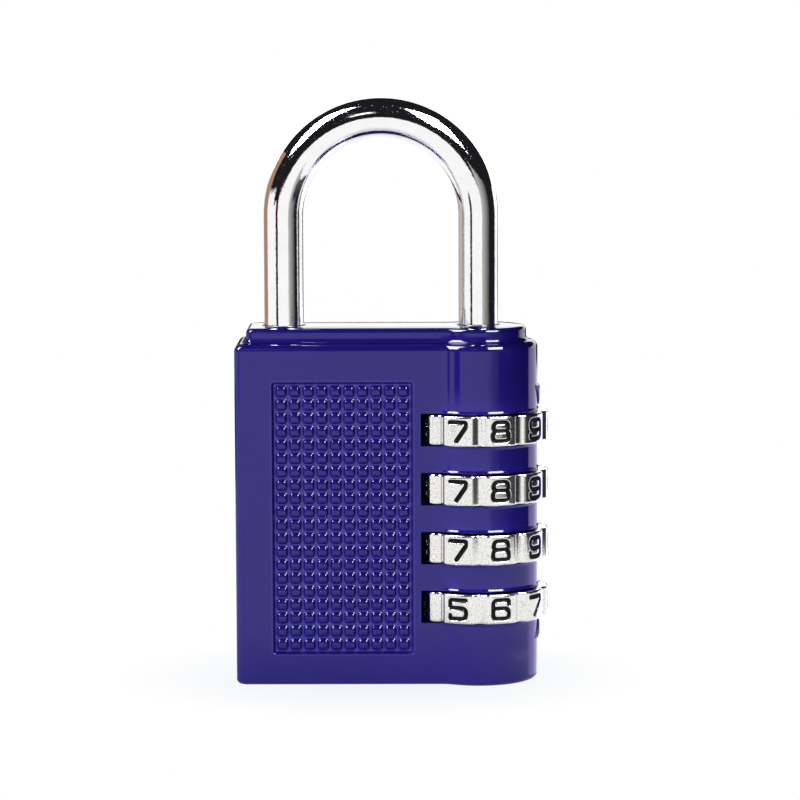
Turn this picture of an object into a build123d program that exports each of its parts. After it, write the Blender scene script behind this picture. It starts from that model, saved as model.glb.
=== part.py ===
from build123d import *
from math import cos, radians, sin, sqrt
import os

# A four-wheel combination padlock. All sizes are in millimetres.
# X runs from the short leg of the shackle to the long one, Y from front to back, Z up.
# The origin is on the bottom face, midway between the legs and midway through the thickness.

# Shackle
rod_diameter = 5.3
leg_spacing = 26.3  # between the centres of the legs
shackle_clear_height = 25.3  # from the plateau to the underside of the arch
short_leg_depth = 5.8  # how far the short leg goes into its socket
short_leg_chamfer = 0.6
leg_clearance = 0.15  # round each leg in its hole
leg_hole_chamfer = 0.25
seat_gap = 0.05  # between faces that rest on each other

# Body casting
toe_margin = 6.5  # from the short leg's centre to the left face
body_thickness = 13.4
head_height = 11.55  # from the top wheel's mid-plane to the ledge round the plateau
plateau_height = 2.05
plateau_inset = 1.55
plateau_corner = 0.9
plateau_round = 0.5
boss_radius = 8.0
boss_blend = 3.0  # hollow between the flat faces and the boss
corner_radius = 0.9
top_round = 1.0
bottom_chamfer = 0.45
slot_lip_chamfer = 0.15

# Stud panel, on the front and on the back
stud_pitch = 1.815
groove_depth = 0.3
groove_slope = 45  # of the studs' sides
panel_side_margin = 5.26  # from the left face to the middle of the frame groove
panel_slot_margin = 1.3  # to the wheel slots
panel_bottom_margin = 4.66
panel_top_margin = 5.2  # to the ledge

# Index marks
index_height = 2.45
index_width = 6.0
index_relief = 0.3
upper_index_gap = 0.85  # from the tip to the wheel slot
lower_index_gap = 0.4

# Number wheels
wheel_count = 4
digit_count = 10
wheel_pitch = 8.0
lowest_wheel = 10.7  # height of the lowest wheel's mid-plane
wheel_diameter = 18.8
wheel_height = 4.0
wheel_chamfer = 0.2
wheel_end_clearance = 0.2
wheel_slot_gap = 0.9  # round the wheel in its slot
flute_width = 2.35
flute_depth = 0.4
wheel_tooth_count = 5
wheel_tooth_width = 1.4
wheel_tooth_height = 1.3
wheel_tooth_depth = 0.5

# Code sleeves
sleeve_diameter = 9.8
sleeve_clearance = 0.1  # round the sleeve in the body, and between sleeves
wheel_clearance = 0.15  # between a sleeve and its wheel
neck_diameter = 8.9
spline_length = 3.45
spline_clearance = 0.1
end_wall = 1.4
chamber_clearance = 0.2  # round the fins
spindle_clearance = 0.1

# Spindle on the long leg
spindle_diameter = 3.5
shoulder_gap = 0.35  # from the top sleeve to the full rod
fin_width = 2.2
fin_height = 1.8
fin_gap = 0.35  # under the sleeve's end wall

# Detent springs
leaf_thickness = 0.3
leaf_height = 3.0
leaf_seat_depth = 0.6
leaf_seat_width = 4.8
leaf_clearance = 0.1

# Lower end of the bore
plug_thickness = 2.2
plug_recess = 0.3
plug_chamfer = 0.3
plug_fit = 0.01
washer_thickness = 0.45
washer_bore_clearance = 0.25  # round the retaining ring
spring_wire = 0.7
spring_wire_sides = 6  # flats that stand for its round section
spring_turns = 2.5
spring_side_clearance = 0.5
ring_thickness = 0.8
ring_groove_diameter = 2.6
ring_clearance = 0.05
ring_opening = 2.2
ring_drop = 0.65  # from the lowest sleeve down to the ring
spindle_end = 0.9  # spindle below the ring

# Places worked out from the sizes
rod_radius = rod_diameter / 2
dial_x = leg_spacing / 2
half_thickness = body_thickness / 2
left_face = -leg_spacing / 2 - toe_margin
wheel_radius = wheel_diameter / 2
wheel_heights = [lowest_wheel + wheel_pitch * (wheel_count - 1 - n) for n in range(wheel_count)]
body_height = wheel_heights[0] + head_height
plateau_top = body_height + plateau_height
arch_height = plateau_top + shackle_clear_height - (leg_spacing / 2 - rod_radius)
leg_hole_radius = rod_radius + leg_clearance
short_leg_end = plateau_top - short_leg_depth
slot_height = wheel_height + 2 * wheel_end_clearance
slot_radius = wheel_radius + wheel_slot_gap
slot_left = dial_x - sqrt(slot_radius**2 - half_thickness**2)
digit_step = 360 / digit_count

panel_left = left_face + panel_side_margin
stud_columns = int((slot_left - panel_slot_margin - panel_left) / stud_pitch)
stud_rows = int((body_height - panel_top_margin - panel_bottom_margin) / stud_pitch)
panel_floor = Plane.XZ.offset(half_thickness - groove_depth).shift_origin(
    (
        panel_left + stud_columns * stud_pitch / 2,
        groove_depth - half_thickness,
        panel_bottom_margin + stud_rows * stud_pitch / 2,
    )
)

sleeve_length = wheel_pitch - sleeve_clearance
sleeve_half = sleeve_length / 2
bore_radius = sleeve_diameter / 2 + sleeve_clearance
bore_top = wheel_heights[0] + sleeve_half + seat_gap
wheel_bore_radius = sleeve_diameter / 2 + wheel_clearance
chamber_radius = rod_radius + chamber_clearance
spindle_radius = spindle_diameter / 2
fin_top = sleeve_half - end_wall - fin_gap  # above the wheel's mid-plane

sleeve_stack_bottom = wheel_heights[-1] - sleeve_half
washer_top = sleeve_stack_bottom - seat_gap
washer_bottom = washer_top - washer_thickness
plug_top = plug_recess + plug_thickness
ring_radius = rod_radius + leg_clearance - ring_clearance
ring_top = sleeve_stack_bottom - ring_drop
ring_bottom = ring_top - ring_thickness
spindle_bottom = ring_bottom - spindle_end

CENTRE_ON_FLOOR = (Align.CENTER, Align.CENTER, Align.MIN)


def save(part, name):
    """Label a finished piece and write it as its own STEP file."""
    part.label = name
    export_step(part, f"parts/{name}.step")


def body_outline(inset, corner):
    """Plan of the casting: a rectangle with a round boss at its right end, blended into the flats."""
    with BuildSketch() as outline:
        with Locations((dial_x, 0)):
            Rectangle(dial_x - left_face - inset, body_thickness - 2 * inset, align=(Align.MAX, Align.CENTER))
            Circle(boss_radius - inset)
        columns = outline.vertices().group_by(Axis.X)
        fillet(columns[1], radius=boss_blend + inset)
        fillet(outline.vertices().group_by(Axis.X)[0], radius=corner)
    return outline.sketch


def index_mark(tip, base):
    """A low triangle wrapped round the right end of the boss, its tip towards the wheels."""
    with BuildPart() as mark:
        with BuildSketch(Plane.YZ.offset(dial_x)):
            with BuildLine():
                Polyline((-index_width / 2, base), (index_width / 2, base), (0, tip), close=True)
            make_face()
        extrude(amount=2 * boss_radius)
        with Locations((dial_x, 0, min(tip, base))):
            Cylinder(
                boss_radius + index_relief, abs(base - tip), align=CENTRE_ON_FLOOR, mode=Mode.INTERSECT
            )
            Cylinder(boss_radius - index_relief, abs(base - tip), align=CENTRE_ON_FLOOR, mode=Mode.SUBTRACT)
    return mark.part


def stud_pocket():
    """A shallow pocket with sloping sides for the stud panel of each flat face."""
    with BuildPart() as pocket:
        with BuildSketch(panel_floor):
            Rectangle(stud_columns * stud_pitch, stud_rows * stud_pitch)
        extrude(amount=groove_depth, taper=-groove_slope)
        mirror(about=Plane.XZ)
    return pocket.part


def stud_panel():
    """The plates that fill the pockets: rows of square studs whose sloping sides meet in grooves."""
    with BuildPart() as stud:
        with BuildSketch():
            Rectangle(stud_pitch, stud_pitch)
        extrude(amount=groove_depth, taper=groove_slope)
    with BuildPart() as panel:
        with BuildSketch(panel_floor):
            Rectangle(stud_columns * stud_pitch, stud_rows * stud_pitch)
        extrude(amount=-groove_depth)
        with Locations(panel_floor):
            with GridLocations(stud_pitch, stud_pitch, stud_columns, stud_rows):
                add(stud.part)
        mirror(about=Plane.XZ)
    return panel.part


def number_wheel(height):
    """A ring with a land for each digit, a flute between lands, and teeth that drive the sleeve."""
    flute_radius = (flute_width**2 / 4 + flute_depth**2) / (2 * flute_depth)
    flute_centre = wheel_radius - flute_depth + flute_radius
    bottom = height - wheel_height / 2
    with BuildPart() as wheel:
        with BuildSketch(Plane((dial_x, 0, bottom))):
            Circle(wheel_radius)
        extrude(amount=wheel_height)
        chamfer(wheel.edges().filter_by(GeomType.CIRCLE), length=wheel_chamfer)
        with BuildSketch(Plane((dial_x, 0, bottom))):
            with PolarLocations(flute_centre, digit_count, start_angle=digit_step / 2):
                Circle(flute_radius)
            Circle(wheel_bore_radius)
        extrude(amount=wheel_height, mode=Mode.SUBTRACT)
        tooth_middle = wheel_bore_radius - wheel_tooth_depth / 2 + wheel_clearance
        with BuildSketch(Plane((dial_x, 0, bottom))):
            with PolarLocations(tooth_middle, wheel_tooth_count):
                Rectangle(wheel_tooth_depth + 2 * wheel_clearance, wheel_tooth_width)
        extrude(amount=wheel_tooth_height)
    return wheel.part


def code_sleeve(height):
    """A splined sleeve with a notched end wall that a fin of the spindle passes in one position."""
    bottom = height - sleeve_half
    spline_depth = (sleeve_diameter - neck_diameter) / 2
    with BuildPart() as sleeve:
        with BuildSketch(Plane((dial_x, 0, bottom))):
            Circle(sleeve_diameter / 2)
            with PolarLocations(sleeve_diameter / 2, digit_count):
                Rectangle(2 * spline_depth, wheel_tooth_width + 2 * spline_clearance, mode=Mode.SUBTRACT)
        extrude(amount=spline_length)
        with BuildSketch(Plane((dial_x, 0, bottom))):
            Circle(neck_diameter / 2)
        extrude(amount=sleeve_length)
        with BuildSketch(Plane((dial_x, 0, bottom))):
            Circle(chamber_radius)
        extrude(amount=sleeve_length - end_wall, mode=Mode.SUBTRACT)
        with BuildSketch(Plane((dial_x, 0, bottom))):
            Circle(spindle_radius + spindle_clearance)
            with BuildSketch(mode=Mode.PRIVATE) as notch:
                Circle(chamber_radius)
                Rectangle(
                    2 * chamber_radius,
                    fin_width + 2 * chamber_clearance,
                    align=(Align.MAX, Align.CENTER),
                    mode=Mode.INTERSECT,
                )
            add(notch.sketch)
        extrude(amount=sleeve_length, mode=Mode.SUBTRACT)
    return sleeve.part


def detent_spring(height):
    """A bowed leaf: its belly sits in the body behind the wheel, its two tips in two flutes."""
    tip_radius = wheel_radius - flute_depth + leaf_clearance + leaf_thickness / 2
    tip_angle = radians(digit_step / 2)
    tip = Vector(dial_x - tip_radius * cos(tip_angle), tip_radius * sin(tip_angle))
    belly = Vector(dial_x - slot_radius - leaf_seat_depth + seat_gap + leaf_thickness / 2, 0)
    with BuildPart() as leaf:
        with BuildSketch(Plane.XY.offset(height - leaf_height / 2)):
            with BuildLine():
                ThreePointArc((tip.X, -tip.Y), (belly.X, belly.Y), (tip.X, tip.Y))
            trace(line_width=leaf_thickness)
        extrude(amount=leaf_height)
    return leaf.part


os.makedirs("parts", exist_ok=True)

# Body: the casting, open at the bottom of its bore and slotted for the wheels
with BuildPart() as lock_body:
    add(body_outline(0, corner_radius))
    extrude(amount=body_height)
    fillet(lock_body.edges().group_by(Axis.Z)[-1], radius=top_round)
    chamfer(lock_body.edges().group_by(Axis.Z)[0], length=bottom_chamfer)
    with BuildSketch(Plane.XY.offset(body_height)):
        add(body_outline(plateau_inset, plateau_corner))
    extrude(amount=plateau_height)
    fillet(lock_body.edges().group_by(Axis.Z)[-1], radius=plateau_round)

    # Slots right round the boss, one for each wheel, with softened lips
    with Locations(*[(dial_x, 0, height) for height in wheel_heights]):
        Cylinder(slot_radius, slot_height, mode=Mode.SUBTRACT)
    slot_faces = [
        face
        for face in lock_body.faces().filter_by(Axis.Z)
        if bottom_chamfer < face.center().Z < body_height - top_round
    ]
    slot_lips = [
        edge
        for face in slot_faces
        for edge in face.outer_wire().edges()
        if edge.geom_type != GeomType.CIRCLE or edge.radius < slot_radius - leg_clearance
    ]
    chamfer(slot_lips, length=slot_lip_chamfer)

    # Bore for the sleeves, guide hole for the long leg, socket for the short leg
    with Locations((dial_x, 0, 0)):
        Cylinder(bore_radius, bore_top, align=CENTRE_ON_FLOOR, mode=Mode.SUBTRACT)
        Cylinder(leg_hole_radius, plateau_top, align=CENTRE_ON_FLOOR, mode=Mode.SUBTRACT)
    with Locations((-dial_x, 0, short_leg_end - seat_gap)):
        Cylinder(leg_hole_radius, short_leg_depth + seat_gap, align=CENTRE_ON_FLOOR, mode=Mode.SUBTRACT)
    leg_hole_mouths = lock_body.edges().filter_by(GeomType.CIRCLE).group_by(Axis.Z)[-1]
    chamfer(leg_hole_mouths, length=leg_hole_chamfer)

    # Seats behind the wheels for the detent springs
    with Locations(*[(dial_x - slot_radius - leaf_seat_depth, 0, height) for height in wheel_heights]):
        Box(
            2 * leaf_seat_depth,
            leaf_seat_width,
            leaf_height + 2 * leaf_clearance,
            align=(Align.MIN, Align.CENTER, Align.CENTER),
            mode=Mode.SUBTRACT,
        )

    upper_tip = wheel_heights[0] + slot_height / 2 + upper_index_gap
    lower_tip = wheel_heights[-1] - slot_height / 2 - lower_index_gap
    add(index_mark(upper_tip, upper_tip + index_height))
    add(index_mark(lower_tip, lower_tip - index_height))
    add(stud_pocket(), mode=Mode.SUBTRACT)
    add(stud_panel())
save(lock_body.part, "lock_body")

# Shackle: one bent rod, whose long leg goes on as a thin finned spindle
with BuildPart() as shackle:
    shoulder = wheel_heights[0] + sleeve_half + shoulder_gap
    with BuildLine():
        Line((dial_x, 0, shoulder), (dial_x, 0, arch_height))
        ThreePointArc((dial_x, 0, arch_height), (0, 0, arch_height + dial_x), (-dial_x, 0, arch_height))
        Line((-dial_x, 0, arch_height), (-dial_x, 0, short_leg_end))
    with BuildSketch(Plane((dial_x, 0, shoulder))):
        Circle(rod_radius)
    sweep()
    chamfer(
        shackle.faces().filter_by(Axis.Z).sort_by(Axis.X)[0].edges(),
        length=short_leg_chamfer,
    )
    with BuildSketch(Plane((dial_x, 0, spindle_bottom))):
        Circle(spindle_radius)
    extrude(amount=shoulder - spindle_bottom)
    for height in wheel_heights:
        with BuildSketch(Plane((dial_x, 0, height + fin_top - fin_height))):
            Circle(rod_radius)
            Rectangle(2 * rod_radius, fin_width, align=(Align.MAX, Align.CENTER), mode=Mode.INTERSECT)
        extrude(amount=fin_height)
    with BuildSketch(Plane((dial_x, 0, ring_bottom - ring_clearance))):
        Circle(rod_radius)
        Circle(ring_groove_diameter / 2, mode=Mode.SUBTRACT)
    extrude(amount=ring_thickness + 2 * ring_clearance, mode=Mode.SUBTRACT)
save(shackle.part, "shackle")

with BuildPart() as retaining_ring:
    with BuildSketch(Plane((dial_x, 0, ring_bottom))):
        Circle(ring_radius)
        Circle(ring_groove_diameter / 2 + ring_clearance, mode=Mode.SUBTRACT)
        Rectangle(2 * ring_radius, ring_opening, align=(Align.MIN, Align.CENTER), mode=Mode.SUBTRACT)
    extrude(amount=ring_thickness)
save(retaining_ring.part, "retaining_ring")

# Each wheel with its sleeve and its detent spring, from the top down
for index, height in enumerate(wheel_heights, start=1):
    save(number_wheel(height), f"dial_{index}")
    save(code_sleeve(height), f"code_sleeve_{index}")
    save(detent_spring(height), f"detent_spring_{index}")

# Pieces in the lower end of the bore
with BuildPart() as thrust_washer:
    with BuildSketch(Plane((dial_x, 0, washer_bottom))):
        Circle(bore_radius - sleeve_clearance)
        Circle(ring_radius + washer_bore_clearance, mode=Mode.SUBTRACT)
    extrude(amount=washer_thickness)
save(thrust_washer.part, "thrust_washer")

with BuildPart() as reset_spring:
    coil_radius = bore_radius - spring_side_clearance - spring_wire / 2
    coil_start = plug_top + seat_gap + spring_wire / 2
    coil_rise = washer_bottom - seat_gap - spring_wire / 2 - coil_start
    with BuildLine():
        coil = Helix(coil_rise / spring_turns, coil_rise, coil_radius, center=(dial_x, 0, coil_start))
    with BuildSketch(Plane(coil @ 0, z_dir=coil % 0)):
        RegularPolygon(spring_wire / 2, side_count=spring_wire_sides)
    sweep(is_frenet=True)
save(reset_spring.part, "reset_spring")

with BuildPart() as bottom_plug:
    with BuildSketch(Plane((dial_x, 0, plug_recess))):
        Circle(bore_radius - plug_fit)
    extrude(amount=plug_thickness)
    chamfer(bottom_plug.edges().group_by(Axis.Z)[0], length=plug_chamfer)
save(bottom_plug.part, "bottom_plug")
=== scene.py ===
from math import acos, atan2, cos, degrees, hypot, pi, radians, sin, sqrt

import bmesh
import bpy
from mathutils import Matrix, Vector


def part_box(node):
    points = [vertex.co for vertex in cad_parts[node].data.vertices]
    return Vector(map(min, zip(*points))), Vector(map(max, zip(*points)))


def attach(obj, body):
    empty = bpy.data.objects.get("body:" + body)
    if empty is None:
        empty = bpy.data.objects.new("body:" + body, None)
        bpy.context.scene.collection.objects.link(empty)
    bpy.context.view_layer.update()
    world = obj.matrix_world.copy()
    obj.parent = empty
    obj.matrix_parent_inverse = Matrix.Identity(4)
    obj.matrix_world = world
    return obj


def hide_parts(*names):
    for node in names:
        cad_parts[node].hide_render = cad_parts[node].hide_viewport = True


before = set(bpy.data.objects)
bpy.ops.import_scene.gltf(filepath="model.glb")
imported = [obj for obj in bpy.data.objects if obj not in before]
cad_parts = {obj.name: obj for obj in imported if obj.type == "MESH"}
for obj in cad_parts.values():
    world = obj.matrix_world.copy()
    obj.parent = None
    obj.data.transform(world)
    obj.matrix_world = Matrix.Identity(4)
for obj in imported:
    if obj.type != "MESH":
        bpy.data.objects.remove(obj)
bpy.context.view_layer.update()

# Sizes of the part are in millimetres and angles in degrees until a mesh is written, in metres.
# Materials and the stage are in metres throughout.
MM = 0.001
WHEELS = (1, 2, 3, 4)


def node_box(name):
    """Lowest and highest corner of a CAD node, in millimetres."""
    low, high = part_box(name)
    return low / MM, high / MM


body_low, body_high = node_box("lock_body")
shackle_low, shackle_high = node_box("shackle")
dial_low, dial_high = node_box("dial_1")

# Places read from the frame
left_face = body_low.x
plateau_top = body_high.z
shackle_top = shackle_high.z
dial_x = (dial_low.x + dial_high.x) / 2
wheel_radius = (dial_high.x - dial_low.x) / 2
wheel_height = dial_high.z - dial_low.z
wheel_heights = [sum(corner.z for corner in node_box(f"dial_{n}")) / 2 for n in WHEELS]

# Sizes of the casting: outlines and bores as in the CAD model, small rounds as in the photograph
half_thickness = 6.7
boss_radius = 8.0
boss_blend = 3.0
corner_radius = 0.9
body_height = 46.25
plateau_inset = 1.55
top_round = 1.0
plateau_round = 0.6
plateau_foot = 0.65
plateau_crown = 0.09
crown_run = 2.6
bottom_round = 0.8
slot_radius = 10.3
slot_height = 4.4
slot_lip = 0.2
bore_radius = 5.0
bore_top = 38.7
rod_radius = 2.65
leg_hole_radius = 2.8
leg_hole_round = 0.25
short_leg_end = 42.5
socket_clearance = 0.05

# Detent springs and their seats, as in the CAD model
leaf_thickness = 0.3
leaf_height = 3.0
leaf_seat_depth = 0.6
leaf_seat_width = 4.8
leaf_clearance = 0.1

# Fineness of the casting's and the springs' meshes
boss_steps = 100
blend_steps = 10
corner_steps = 10
bottom_steps = 6
bead_steps = 7
top_steps = 8
foot_steps = 4
plateau_steps = 6
mouth_steps = 4
lip_steps = 3
slot_segments = 160
hole_segments = 96
cutter_reach = 1.0  # of a cutter past the face that it opens
lip_margin = 0.02  # from the slot's own edge, for finding the edges of its lips
casting_sharp_angle = 38
lip_sharp_angle = 40
leaf_steps = 24
leaf_sharp_angle = 30

# Stud panel
column_pitch = 1.82
row_pitch = 1.807
stud_columns = 10
stud_rows = 20
panel_width = stud_columns * column_pitch
panel_height = stud_rows * row_pitch
panel_left = -14.29
panel_bottom = 4.647
frame_floor = 0.06  # from the outermost groove's middle to the foot of the frame's wall
frame_wall = 0.38  # to the top of the wall
frame_half = 0.62  # to the end of the panel's own mesh
pocket_depth = 0.7
pocket_margin = 0.01

weld = 2e-6  # metres between points that become one


def new_object(name, bm, materials):
    """A mesh object from a bmesh in millimetres, which is used up."""
    mesh = bpy.data.meshes.new(name)
    bmesh.ops.scale(bm, vec=(MM, MM, MM), verts=bm.verts)
    bm.normal_update()
    bm.to_mesh(mesh)
    bm.free()
    for finish in materials:
        mesh.materials.append(finish)
    piece = bpy.data.objects.new(name, mesh)
    bpy.context.scene.collection.objects.link(piece)
    return piece


def smooth(piece, sharp_angle, weighted=False):
    """Smooth shading with edges over an angle kept sharp, weighted by face area if asked."""
    piece.data.shade_smooth()
    piece.data.set_sharp_from_angle(angle=radians(sharp_angle))
    if weighted:
        modifier = piece.modifiers.new("weighted", "WEIGHTED_NORMAL")
        modifier.keep_sharp = True


def stand_in(piece, node, body):
    """Put a piece in the place of a CAD node."""
    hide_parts(node)
    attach(piece, body)


def editable(piece):
    """The mesh of a piece as a bmesh, in metres."""
    bm = bmesh.new()
    bm.from_mesh(piece.data)
    return bm


def write_back(bm, piece):
    """Put a bmesh in metres back into its piece."""
    bm.to_mesh(piece.data)
    bm.free()


def apply_modifiers(piece):
    """Bake the modifiers of a piece into its mesh."""
    graph = bpy.context.evaluated_depsgraph_get()
    baked = bpy.data.meshes.new_from_object(piece.evaluated_get(graph))
    piece.modifiers.clear()
    piece.data = baked


def clean(bm):
    """Join points that lie on each other, and keep only the largest shell."""
    bmesh.ops.remove_doubles(bm, verts=bm.verts, dist=weld)
    bmesh.ops.triangulate(bm, faces=[face for face in bm.faces if len(face.verts) > 4])
    for face in bm.faces:
        face.tag = False
    shells = []
    for first in bm.faces:
        if first.tag:
            continue
        first.tag = True
        shell = [first]
        for face in shell:
            for edge in face.edges:
                if len(edge.link_faces) != 2:
                    continue
                for beside in edge.link_faces:
                    if not beside.tag:
                        beside.tag = True
                        shell.append(beside)
        shells.append(shell)
    shells.sort(key=len)
    crumbs = [face for shell in shells[:-1] for face in shell]
    bmesh.ops.delete(bm, geom=crumbs, context="FACES")


def combine(piece, tool_bm, operation, self_overlaps=False):
    """Cut the solid in tool_bm, in millimetres, out of a piece (DIFFERENCE) or add it (UNION)."""
    tool = new_object("tool", tool_bm, piece.data.materials)
    boolean = piece.modifiers.new("combine", "BOOLEAN")
    boolean.operation = operation
    boolean.solver = "EXACT"
    boolean.use_self = self_overlaps
    boolean.object = tool
    apply_modifiers(piece)
    bpy.data.objects.remove(tool)
    bm = editable(piece)
    clean(bm)
    write_back(bm, piece)


def join_rings(bm, rings):
    """Faces from each closed ring of points to the next. A ring may be one point, repeated."""
    faces = []
    for lower, upper in zip(rings, rings[1:]):
        for step in range(len(lower)):
            after = (step + 1) % len(lower)
            around = [lower[step], lower[after], upper[after], upper[step]]
            faces.append(bm.faces.new(list(dict.fromkeys(around))))
    return faces


def ring_about(bm, centre, radius, first, second, segments):
    """A ring of points about a centre, in the plane of two unit vectors."""
    ring = []
    for step in range(segments):
        angle = 2 * pi * step / segments
        ring.append(bm.verts.new(centre + radius * (cos(angle) * first + sin(angle) * second)))
    return ring


def lathe(bm, profile, centre, segments):
    """Turn a list of (radius, height) points round a vertical axis. A radius of 0 closes an end."""
    rings = []
    for radius, height in profile:
        if radius == 0:
            rings.append([bm.verts.new((*centre, height))] * segments)
            continue
        ring = []
        for step in range(segments):
            angle = 2 * pi * step / segments
            place = (centre[0] + radius * cos(angle), centre[1] + radius * sin(angle), height)
            ring.append(bm.verts.new(place))
        rings.append(ring)
    join_rings(bm, rings)


def add_box(bm, size, place):
    """Add a box to a bmesh. place is the matrix of its middle."""
    bmesh.ops.create_cube(bm, size=1.0, matrix=place @ Matrix.Diagonal((*size, 1.0)))


def prism(bm, outline, low, high):
    """Add an upright solid between two heights. outline lists (x, y) points in order."""
    lower = [bm.verts.new((x, y, low)) for x, y in outline]
    upper = [bm.verts.new((x, y, high)) for x, y in outline]
    faces = [bm.faces.new(lower), bm.faces.new(upper)] + join_rings(bm, [lower, upper])
    bmesh.ops.recalc_face_normals(bm, faces=faces)


# Materials


def material(name):
    """A new node material, with its tree and its main shader."""
    made = bpy.data.materials.new(name)
    made.use_nodes = True
    return made, made.node_tree, made.node_tree.nodes["Principled BSDF"]


def fill(node, inputs):
    """Give inputs of a node, by name or by number, plain values or the outputs of other nodes."""
    for key, value in inputs.items():
        if isinstance(value, bpy.types.NodeSocket):
            node.id_data.links.new(value, node.inputs[key])
        else:
            node.inputs[key].default_value = value


def add_node(tree, kind, inputs=(), **settings):
    """A new node with its settings and inputs filled in."""
    made = tree.nodes.new(kind)
    for name, value in settings.items():
        setattr(made, name, value)
    fill(made, dict(inputs))
    return made


def noise(tree, scale, detail=2.0, roughness=0.5):
    """Noise in object space, with features about 1 / scale metres across."""
    place = add_node(tree, "ShaderNodeTexCoord").outputs["Object"]
    grain = {"Vector": place, "Scale": scale, "Detail": detail, "Roughness": roughness}
    return add_node(tree, "ShaderNodeTexNoise", grain).outputs["Fac"]


def ramp(tree, source, stops):
    """A colour ramp over a factor."""
    made = add_node(tree, "ShaderNodeValToRGB", {"Fac": source})
    elements = made.color_ramp.elements
    while len(elements) < len(stops):
        elements.new(0.5)
    for element, (position, colour) in zip(elements, stops):
        element.position = position
        element.color = (*colour, 1.0)
    return made.outputs["Color"]


def spread(tree, source, low, high, start=0.0, end=1.0):
    """A factor stretched to a range of values."""
    ends = {"Value": source, "From Min": start, "From Max": end, "To Min": low, "To Max": high}
    return add_node(tree, "ShaderNodeMapRange", ends).outputs["Result"]


def mixed(tree, factor, first, second):
    """A blend of two colours."""
    inputs = {"Factor": factor, "A": first, "B": second}
    return add_node(tree, "ShaderNodeMix", inputs, data_type="RGBA").outputs["Result"]


def bump(tree, source, strength, distance, edge_radius=0.0):
    """Relief from a factor, in metres, over edges that look rounded where edge_radius is given."""
    relief = {"Height": source, "Strength": strength, "Distance": distance}
    if edge_radius:
        edges = add_node(tree, "ShaderNodeBevel", {"Radius": edge_radius}, samples=8)
        relief["Normal"] = edges.outputs["Normal"]
    return add_node(tree, "ShaderNodeBump", relief).outputs["Normal"]


def mottled(name, tone_grain, tones, rough_grain, rough, relief=None, **inputs):
    """A material of uneven colour, gloss and, if asked, relief. A grain lists the values of its noise."""
    made, tree, shader = material(name)
    inputs["Base Color"] = ramp(tree, noise(tree, *tone_grain), tones)
    inputs["Roughness"] = spread(tree, noise(tree, *rough_grain), *rough)
    if relief:
        grain, *shape = relief
        inputs["Normal"] = bump(tree, noise(tree, *grain), *shape)
    fill(shader, inputs)
    return made


def enamel_material():
    """Gloss blue-violet enamel with a faint orange peel, with painted light: a lighter blue in the
    grooves and along the frame's lip.
    """
    made, tree, shader = material("enamel")
    tones = [(0.3, (0.0150, 0.0080, 0.192)), (0.7, (0.0178, 0.0096, 0.214))]
    face = ramp(tree, noise(tree, 90.0, 3.0), tones)
    # A mesh attribute mixes in a lighter blue: painted light in the grooves, most at their crossings, and
    # along the frame's lip.
    groove = add_node(tree, "ShaderNodeAttribute", attribute_name="painted_light").outputs["Fac"]
    look = {
        "IOR": 1.45,
        "Base Color": mixed(tree, groove, face, (0.036, 0.038, 0.34, 1.0)),
        "Roughness": spread(tree, noise(tree, 700.0), 0.04, 0.10),
        "Normal": bump(tree, noise(tree, 900.0, 1.0), 0.018, 0.0001),
    }
    fill(shader, look)
    return made


def chrome_material():
    """Bright chrome plate over polished steel, a little uneven."""
    tones = [(0.3, (0.90, 0.90, 0.91)), (0.7, (0.95, 0.95, 0.95))]
    rough = (0.02, 0.30, 0.59, 0.73)
    relief = ((900.0, 5.0, 0.6), 0.8, 0.00002)
    return mottled("chrome", (400.0, 3.0), tones, (5200.0, 3.0, 0.6), rough, relief, Metallic=1.0)


def wheel_material():
    """Bright nickel plate over a die-cast grain, with dark flecks."""
    grain = (5200.0, 4.0, 0.65)
    tones = [(0.30, (0.20, 0.19, 0.19)), (0.40, (0.80, 0.79, 0.77)), (0.7, (0.93, 0.92, 0.90))]
    relief = ((4200.0, 3.0), 0.35, 0.00002, 0.0002)
    return mottled("wheel_metal", grain, tones, (2400.0, 3.0), (0.04, 0.15), relief, Metallic=1.0)


def digit_material():
    """Black fill in the engraved digits, worn in flecks."""
    grain = (5200.0, 3.0, 0.6)
    tones = [(0.60, (0.004, 0.004, 0.005)), (0.74, (0.16, 0.16, 0.155))]
    relief = ((3500.0, 3.0), 0.3, 0.00003)
    shine = {"Specular IOR Level": 0.12}
    return mottled("digit_paint", grain, tones, (2500.0,), (0.40, 0.60), relief, **shine)


def plain_metal_material(name, dark, light, rough):
    """Turned or drawn metal for the inner pieces."""
    tones = [(0.3, dark), (0.7, light)]
    return mottled(name, (1200.0, 3.0), tones, (2000.0,), (rough - 0.06, rough + 0.08), Metallic=1.0)


enamel = enamel_material()
chrome = chrome_material()
wheel_metal = wheel_material()
digit_paint = digit_material()
sleeve_brass = plain_metal_material("sleeve_brass", (0.60, 0.43, 0.18), (0.74, 0.56, 0.27), 0.3)
spring_steel = plain_metal_material("spring_steel", (0.34, 0.34, 0.35), (0.50, 0.50, 0.51), 0.3)


# Casting


def arc(centre, radius, start, end, steps):
    """Points along an arc, both ends included, or the first point alone if steps is 0."""
    points = []
    for step in range(steps + 1):
        angle = radians(start + (end - start) * step / max(steps, 1))
        points.append((centre[0] + radius * cos(angle), centre[1] + radius * sin(angle)))
    return points


def fading_arc(centre, radius, start, end, steps, bead):
    """A hollow arc without its first point, with a bead that fades out at its last point."""
    points = []
    for step in range(1, steps + 1):
        reach = radius - bead * (1 - step / steps)
        points += arc(centre, reach, start + (end - start) * step / steps, 0, 0)
    return points


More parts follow.
